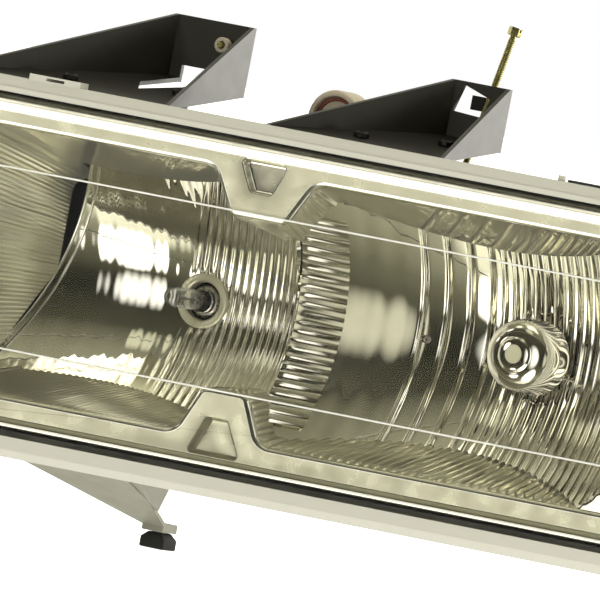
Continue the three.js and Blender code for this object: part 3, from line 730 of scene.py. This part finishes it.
def make_bezel_walls():
    """The fluted walls that run back from the window's edge to the two reflectors."""
    outline = resampled(window_outline(), 0.42)
    count = len(outline)
    shares = (0, 0.025, 0.06, 0.12, 0.25, 0.4, 0.55, 0.7, 0.85, 1)
    rows = [[] for _ in shares]
    travelled, zone = 0.0, None
    for i, spot in enumerate(outline):
        name = wall_zone(spot)
        if name != zone:
            zone, travelled = name, 0.0
        travelled += (spot - outline[i - 1]).length
        flutes = WALL_FLUTES[name]
        along = (outline[(i + 1) % count] - outline[i - 1]).normalized()
        inward = Vector((-along.y, 0, along.x))
        start, run = wall_route(spot)
        length = wall_end(start, run, 1.2)
        if name == "left":
            run_back = LEFT_WALL_BACK - 0.5 * max(-spot.y, 0) - WALL_FRONT
            length = min(length, run_back * (1 + SWEEP * DRAFT["left"]))
        for row, share in zip(rows, shares):
            rib = abs(math.sin(math.pi * travelled / flutes.pitch)) * flutes.height
            here = start + run * length * share + inward * rib * min(share * length / 2.5, 1)
            row.append(place(*here))
    points, faces = grid(rows, closed=True)
    walls = build("bezel_walls", points, faces, [FLUTED], None, 60, towards=(0, 20, 0))
    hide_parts("bezel")
    return solidify(walls, 1.2)

# ---------------------------------------------------------------- reflectors


def ridge(distance, pitch, sharpness=3):
    """A rounded ridge at every pitch, with a broad channel between, from 0 to 1."""
    return (0.5 + 0.5 * math.cos(2 * math.pi * distance / pitch)) ** sharpness


def eased(value, start, end):
    """0 at the start, 1 at the end and smooth between."""
    share = min(max((value - start) / (end - start), 0), 1)
    return share * share * (3 - 2 * share)


def steps(start, end, spacing):
    """Evenly spaced values from start to end."""
    count = max(1, round((end - start) / spacing))
    return [start + (end - start) * i / count for i in range(count + 1)]


HIGH_FLUTES = {"start": -86.0, "pitch": 4.9, "height": 1.0, "lean": 0.004}
BROAD_FLUTES = {"pitch": 11.5, "height": 0.13, "swell": 0.04}
RIB_STRIP = {"end": -3.6, "pitch": 4.2, "height": 0.55}
WIDE_FLUTES = {"first": 25.2, "end": 54.6, "pitch": 9.8, "height": 1.3}
SLIM_FLUTES = {"pitch": 5.3, "height": 0.8}
REFLECTOR_TOP, REFLECTOR_BOTTOM = 69.0, -64.0
LOW_BOWL_END = 170.0
HIGH_EDGE = {"left": -148.6, "lean": 0.31, "curl": 0.0004}


def high_relief(x, z):
    """How far the high-beam bowl's surface stands towards the lens."""
    across = x - HIGH_FLUTES["lean"] * max(z, 0) ** 2 - HIGH_FLUTES["start"]
    fade = eased(across, -3, 6)
    swell = 0.6 + 0.4 * math.sin(BROAD_FLUTES["swell"] * z + x)
    broad = BROAD_FLUTES["height"] * swell * math.cos(2 * math.pi * x / BROAD_FLUTES["pitch"]) * (1 - fade)
    return HIGH_FLUTES["height"] * ridge(across, HIGH_FLUTES["pitch"], 2) * fade + broad


def low_relief(x, z):
    """How far the low-beam bowl's surface stands towards the lens, right of the ribbed strip."""
    first, end = WIDE_FLUTES["first"], WIDE_FLUTES["end"]
    if x < first - 4:
        smooth = eased(x, -3, 4) * (1 - eased(x, first - 9, first - 4))
        return 0.35 * math.sin((x + 2) * 0.30) ** 2 * smooth
    if x < end:
        return WIDE_FLUTES["height"] * ridge(x - first, WIDE_FLUTES["pitch"], 9) * eased(x, first - 4, first)
    blend = eased(x, end, end + 2)
    height = WIDE_FLUTES["height"] + (SLIM_FLUTES["height"] - WIDE_FLUTES["height"]) * blend
    return height * ridge(x - end, SLIM_FLUTES["pitch"], 9 - 6 * blend)


def rib_relief(x, z):
    """The stack of small level ribs beside the crest."""
    rib = abs(math.sin(math.pi * z / RIB_STRIP["pitch"]))
    wander = 0.9 + 0.1 * math.sin(z * 3.1 + x * 0.35)
    return RIB_STRIP["height"] * rib * wander * eased(x, CREST_X, CREST_X + 1.5)


def bowl_grid(dish, columns, levels, relief):
    """A patch of a bowl over columns of x and levels of z, kept behind the bezel's plate."""
    rows = []
    for z in levels:
        row = []
        for x in columns:
            fade = eased(math.hypot(x - dish.x, z - dish.z), COLLAR, COLLAR + 3)
            row.append(place(x, max(dish.depth(x, z) - relief(x, z) * fade, SWEEP * x + 12.5), z))
        rows.append(row)
    return grid(rows)


def pierced(dish, points, faces, radius):
    """Drops the faces of a bowl that lie within a radius of its bulb's axis."""
    kept = []
    for face in faces:
        centre = design(sum((points[i] for i in face), Vector((0, 0, 0))) / len(face))
        if math.hypot(centre.x - dish.x, centre.z - dish.z) > radius:
            kept.append(face)
    return points, kept


def high_left_edge(z):
    """The free left edge of the high-beam reflector, which leans out towards its foot."""
    return HIGH_EDGE["left"] + HIGH_EDGE["lean"] * z + HIGH_EDGE["curl"] * z * z


def make_high_reflector():
    levels = steps(REFLECTOR_BOTTOM, REFLECTOR_TOP, 1.8)
    shares = [i / 250 for i in range(251)]
    rows = []
    for z in levels:
        left = high_left_edge(z)
        row = []
        for share in shares:
            x = left + (CREST_X - left) * share
            fade = eased(math.hypot(x - HIGH.x, z - HIGH.z), COLLAR, COLLAR + 3)
            row.append(place(x, max(HIGH.depth(x, z) - high_relief(x, z) * fade, SWEEP * x + 12.5), z))
        rows.append(row)
    points, faces = pierced(HIGH, *grid(rows), COLLAR - 1.4)
    bowl = build("high_reflector_bowl", points, faces, [MIRROR], None, 60, towards=(HIGH.x, -300, 0))
    return solidify(bowl, 2)


def make_low_reflector():
    strip = steps(CREST_X, RIB_STRIP["end"] + 0.4, 0.9)
    ribs = bowl_grid(LOW, strip, steps(-50, 52, 0.4), rib_relief)
    above = bowl_grid(LOW, strip, steps(51.6, REFLECTOR_TOP, 2), low_relief)
    below = bowl_grid(LOW, strip, steps(REFLECTOR_BOTTOM, -49.6, 2), low_relief)
    levels = steps(REFLECTOR_BOTTOM, REFLECTOR_TOP, 1.8)
    flutes = bowl_grid(LOW, steps(RIB_STRIP["end"], LOW_BOWL_END, 0.5), levels, low_relief)
    points, faces = pierced(LOW, *merged(ribs, above, below, flutes), COLLAR - 1.4)
    bowl = build("low_reflector_bowl", points, faces, [MIRROR], None, 60, towards=(LOW.x, -300, 0))
    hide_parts("reflector_low")
    return solidify(bowl, 2)


def make_collar(dish):
    """The flat ring round a bulb hole, with a rounded outer shoulder."""
    profile = [
        (COLLAR + 0.6, 1.2), (COLLAR + 0.3, -0.6), (COLLAR - 0.2, -1.5),
        (COLLAR - 0.9, -1.9), (COLLAR - 1.8, -2.0),
        (BULB_HOLE + 1.4, -2.0), (BULB_HOLE + 0.6, -1.8), (BULB_HOLE + 0.15, -1.2), (BULB_HOLE, -0.4),
        (BULB_HOLE, 3.0), (BULB_HOLE + 1.6, 3.4), (COLLAR, 3.0), (COLLAR + 0.6, 1.2),
    ]
    points, faces = turned(profile, (dish.x, dish.y, dish.z), sides=96)
    collar = build(dish.name + "_bulb_collar", points, faces, [SATIN], None, 40)
    return collar


def make_edge_bead():
    """The double rib along the free left edge of the high-beam reflector."""
    beads = []
    for inset, radius in ((0.0, 0.9), (3.4, 0.75)):
        rows = []
        for z in steps(-58, 66, 2):
            x = high_left_edge(z) + inset
            centre = Vector((x, HIGH.depth(x, z) - 0.3, z))
            row = []
            for side in range(12):
                angle = 2 * math.pi * side / 12
                row.append(place(*(centre + Vector((math.cos(angle), math.sin(angle), 0)) * radius)))
            rows.append(row)
        beads.append(grid(rows, closed=True))
    points, faces = merged(*beads)
    bead = build("high_reflector_bead", points, faces, [EDGE], None, 60)
    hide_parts("reflector_high")
    return bead


make_bezel_front()
make_bezel_walls()
make_high_reflector()
make_low_reflector()
make_collar(HIGH)
make_collar(LOW)
make_edge_bead()

# ---------------------------------------------------------------- bulbs and shield


def tube(path, radius, sides=10, close=True):
    """A round tube through design-frame points, with its ends closed."""
    path = [Vector(spot) for spot in path]
    rows = []
    lift = Vector((0, 0, 1))
    for i, spot in enumerate(path):
        along = (path[min(i + 1, len(path) - 1)] - path[max(i - 1, 0)]).normalized()
        nearly_along = abs(lift.dot(along)) >= 0.999
        lift = Vector((1, 0, 0)) if nearly_along else (lift - along * lift.dot(along)).normalized()
        side = along.cross(lift)
        rows.append([
            place(*(spot + (lift * math.cos(turn) + side * math.sin(turn)) * radius))
            for turn in (2 * math.pi * k / sides for k in range(sides))
        ])
    points, faces = grid(rows, closed=True)
    if close:
        faces += [tuple(range(sides)), tuple(range(len(points) - sides, len(points)))]
    return points, faces


def make_glass(dish):
    """A clear quartz envelope with a domed, pinched tip, hollow inside."""
    low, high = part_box(dish.name + "_bulb_glass")
    radius = (high.x - low.x) / 2 / MM
    tip, back = dish.tip, design(high).y - dish.y
    wall = 0.7
    outside = [(0, tip), (radius * 0.22, tip + 0.2), (radius * 0.5, tip + 0.9), (radius * 0.78, tip + 2.3),
               (radius * 0.95, tip + 4.4), (radius, tip + 7), (radius, back)]
    within = [(radius - wall, back), (radius - wall, tip + 7.2), ((radius - wall) * 0.9, tip + 5),
              ((radius - wall) * 0.6, tip + 2.9), (0, tip + 2.0)]
    points, faces = turned(outside + within, (dish.x, dish.y, dish.z), sides=40)
    glass = build(dish.name + "_bulb_envelope", points, faces, [GLASS], None, 40)
    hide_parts(dish.name + "_bulb_glass")


def make_filament(dish):
    """A coiled filament lying along the bulb's axis, on two lead wires."""
    coil_front, coil_back = dish.tip + 11, dish.tip + 16.5
    base_y = 2.0
    coil_radius, turns = 0.8, 9
    coil = []
    for step in range(turns * 12 + 1):
        angle = 2 * math.pi * step / 12
        y = coil_front + (coil_back - coil_front) * step / (turns * 12)
        across, up = coil_radius * math.cos(angle), coil_radius * math.sin(angle)
        coil.append((dish.x + across, dish.y + y, dish.z + up))
    front_bend = (dish.x + 1.9, dish.y + coil_front - 0.6, dish.z)
    back_bend = (dish.x - 1.2, dish.y + coil_back + 1, dish.z)
    front_lead = [coil[0], front_bend, (dish.x + 2.1, dish.y + base_y, dish.z)]
    back_lead = [coil[-1], back_bend, (dish.x - 1.6, dish.y + base_y, dish.z)]
    points, faces = merged(tube(coil, 0.14, 6), tube(front_lead, 0.32, 8), tube(back_lead, 0.32, 8))
    wire = build(dish.name + "_filament_wire", points, faces, [TUNGSTEN], None, 50)
    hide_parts(dish.name + "_bulb_filament")


def make_ferrule(dish):
    """The metal cup that holds the envelope in the bulb hole."""
    low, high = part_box(dish.name + "_bulb_glass")
    radius = (high.x - low.x) / 2 / MM
    profile = [(radius + 0.25, 2.8), (radius + 0.25, -1.6), (radius + 0.6, -2.2), (radius + 1.1, -2.0),
               (radius + 1.3, -1.2), (radius + 1.3, 0.6), (BULB_HOLE - 1.9, 1.0), (BULB_HOLE - 1.5, 1.6),
               (BULB_HOLE - 1.5, 2.8), (radius + 0.25, 2.8)]
    points, faces = turned(profile, (dish.x, dish.y, dish.z), sides=64)
    ferrule = build(dish.name + "_bulb_ferrule", points, faces, [TERMINAL], None, 40)


def make_shield():
    """The bright cup in front of the low-beam bulb, on two legs."""
    profile = [
        (0, -32.4), (4.0, -32.35), (7.2, -32.2), (8.0, -31.9), (8.5, -31.5), (9.2, -31.4), (10.6, -31.2),
        (12.4, -30.6), (14.6, -29.7), (16.2, -28.2), (17.2, -26.0), (17.8, -22.6), (18.0, -18.0), (18.0, -10.4),
        (18.3, -9.4), (18.2, -8.8), (17.6, -8.6), (17.2, -9.4), (17.1, -18.0), (16.8, -22.6), (15.9, -26.0),
        (14.2, -28.2), (12.0, -29.4), (0, -30.0),
    ]
    parts = [turned(profile, (LOW.x, LOW.y, LOW.z), sides=96)]
    for angle in (math.radians(205), math.radians(335)):
        route = [(17.5, -10.5), (17.3, -6.5), (15.6, -4.2), (13.4, -3.0), (12.6, -1.0)]
        spots = [
            (LOW.x + out * math.cos(angle), LOW.y + along, LOW.z + out * math.sin(angle))
            for out, along in route
        ]
        parts.append(tube(spots, 1.0, 10))
    points, faces = merged(*parts)
    cup = build("low_bulb_cup", points, faces, [SHIELD], None, 40)
    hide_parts("low_bulb_shield")


for dish in (HIGH, LOW):
    make_glass(dish)
    make_filament(dish)
    make_ferrule(dish)
make_shield()

# ---------------------------------------------------------------- lens creases and screw threads


def make_crease(name, z):
    """A slim bead moulded along a fold of the lens, milky and whitish as a painted highlight of the fold."""
    half_width, half_height, proud = HALF_WIDTH - 8, 0.5, 0.22
    rows = []
    for x in steps(-half_width, half_width, 4):
        profile = (
            (-half_height, 0.35), (-half_height * 0.6, -proud * 0.7), (0, -proud),
            (half_height * 0.6, -proud * 0.7), (half_height, 0.35),
        )
        rows.append([swept(x, out, z + up) for up, out in profile])
    points, faces = grid(rows, closed=True)
    width = len(rows[0])
    faces += [tuple(range(width)), tuple(range(len(points) - width, len(points)))]
    bead = build(name, points, faces, [CREASE_PAINTED_HIGHLIGHT], None, 60)


def make_thread(name, body, start, end, radius, pitch=1.0):
    """A helical thread wrapped on a screw's shank."""
    start, end = Vector(start), Vector(end)
    along = (end - start).normalized()
    side = along.cross(Vector((1, 0, 0))).normalized()
    lift = along.cross(side)
    sides, per_turn = 20, 8
    rows = []
    length = (end - start).length
    for travel in steps(0, length, pitch / per_turn):
        taper = min(travel, length - travel, 1) - 0.35
        row = []
        for k in range(sides):
            angle = 2 * math.pi * k / sides
            phase = (travel / pitch - k / sides) % 1
            out = radius + min(0.20 * (1 - abs(2 * phase - 1)), 0.14) * max(taper, 0) / 0.65 + 0.03
            outward = side * math.cos(angle) + lift * math.sin(angle)
            row.append(place(*(start + along * travel + outward * out)))
        rows.append(row)
    points, faces = grid(rows, closed=True)
    faces += [tuple(range(sides)), tuple(range(len(points) - sides, len(points)))]
    thread = build(name, points, faces, [ZINC], None, 70, body=body)


def make_pivot_collar():
    """The nylon pivot socket: a wide ring with a dished face and a rubber seal let into it."""
    low, high = (design(corner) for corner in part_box("pivot_socket"))
    radius = (high.x - low.x) / 2
    centre = ((low.x + high.x) / 2, 0, high.z - radius)
    front, back = low.y, high.y
    flat = [(radius, back), (radius, front + 1.6), (radius - 0.5, front + 0.5), (radius - 1.6, front),
            (radius - 2.8, front + 0.2), (radius - 3.3, front + 1.2), (radius - 3.4, front + 3.2),
            (radius - 8.2, front + 3.6), (radius - 8.8, front + 2.6), (0.01, front + 2.2)]
    ball_cup = [(0.01, back - 3), (7.9, back - 2.4), (7.9, back), (radius, back)]
    parts = [turned(flat + ball_cup, centre, sides=64)]
    seal = [(radius - 4.4 + 0.8 * math.cos(turn), front + 2.9 + 0.8 * math.sin(turn)) for turn in
            (2 * math.pi * k / 12 for k in range(13))]
    parts.append(turned(seal, centre, sides=64))
    slots = [index for index, (_, faces) in enumerate(parts) for _ in faces]
    points, faces = merged(*parts)
    collar = build("pivot_collar", points, faces, [NYLON, RED_RUBBER], slots, 40)
    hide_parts("pivot_socket")


def screw_line(joint, start, end):
    """Two points on a screw joint's axis, at distances in millimetres from the joint's place."""
    entry = next(each for each in frame["joints"] if each["name"] == joint)
    centre, axis = design(Vector(entry["pos_m"])), Vector(entry["axis"]).normalized()
    return centre + axis * start, centre + axis * end


make_pivot_collar()
make_crease("upper_lens_crease", CREASES[0])
make_crease("lower_lens_crease", CREASES[1])
make_thread("vertical_screw_thread", "vertical_screw", *screw_line("vertical_screw_turn", -23.5, 61), 1.55)
make_thread("side_screw_thread", "side_screw", *screw_line("side_screw_turn", -7.5, 15), 1.55)

# ---------------------------------------------------------------- CAD parts that keep their shape

NODE_FINISH = {  # node name, or the start of several, and its material and edge radius
    "housing": (HOUSING, 0.7),
    "vent_cap": (RUBBER, 0.6),
    "lens": (LENS, 0.5),
    "lens_seal": (SEALANT, 0.3),
    "reflector_rivet": (TERMINAL, 0.3),
    "upper_": (BRACKET, 0.35),
    # the lower bracket's grey is a painted reflection of the floor
    "lower_bracket": (BRACKET_PAINTED_REFLECTION, 0.5),
    "lower_foot": (RUBBER, 1.2),
    "inner_bracket_screw": (BLACK_SCREW, 0.2),
    "outer_bracket_screw": (BLACK_SCREW, 0.2),
    "lower_bracket_screw": (STEEL, 0.2),
    "high_bulb_base": (HOUSING, 0.3),
    "low_bulb_base": (HOUSING, 0.3),
    "high_bulb_oring": (RED_RUBBER, 0.1),
    "low_bulb_oring": (RED_RUBBER, 0.1),
    "high_lock_ring": (HOUSING, 0.5),
    "low_lock_ring": (HOUSING, 0.5),
    "high_terminal": (TERMINAL, 0.1),
    "low_terminal": (TERMINAL, 0.1),
    "vertical_aim_screw": (ZINC, 0.15),
    "side_aim_screw": (ZINC, 0.15),
    "vertical_aim_nut": (RUBBER, 0.3),
    "side_aim_nut": (RUBBER, 0.3),
    "vertical_screw_clip": (NYLON, 0.3),
    "side_screw_clip": (NYLON, 0.3),
    "pivot_ball_stud": (STEEL, 0.2),
}


def finish_node(piece, finish, radius):
    """Gives a CAD part its material, welds its facets and rounds its edges without moving it."""
    piece.data.materials.clear()
    piece.data.materials.append(finish)
    piece.data.polygons.foreach_set("use_smooth", [True] * len(piece.data.polygons))
    weld = piece.modifiers.new("weld", "WELD")
    weld.merge_threshold = 1e-6
    bevel(piece, radius)
    smoothing = piece.modifiers.new("shading", "WEIGHTED_NORMAL")
    smoothing.weight = 60


SKIRT_END, SKIRT_TOP, SKIRT_BOTTOM = 189, 82.1, -79.9


def frost_skirt(piece):
    """Gives the lens's edge and skirt a milkier finish than its face."""
    piece.data.materials.append(SKIRT)
    for face in piece.data.polygons:
        spots = [design(piece.data.vertices[i].co) for i in face.vertices]
        past_end = all(spot.x > SKIRT_END for spot in spots) or all(spot.x < -SKIRT_END for spot in spots)
        past_edge = all(spot.z > SKIRT_TOP for spot in spots) or all(spot.z < SKIRT_BOTTOM for spot in spots)
        face.material_index = int(past_end or past_edge)


for node, piece in frame["nodes"].items():
    if piece.hide_render:
        continue
    names = [name for name in NODE_FINISH if node.startswith(name)]
    finish, radius = NODE_FINISH[max(names, key=len)]
    finish_node(piece, finish, radius)
frost_skirt(frame["nodes"]["lens"])
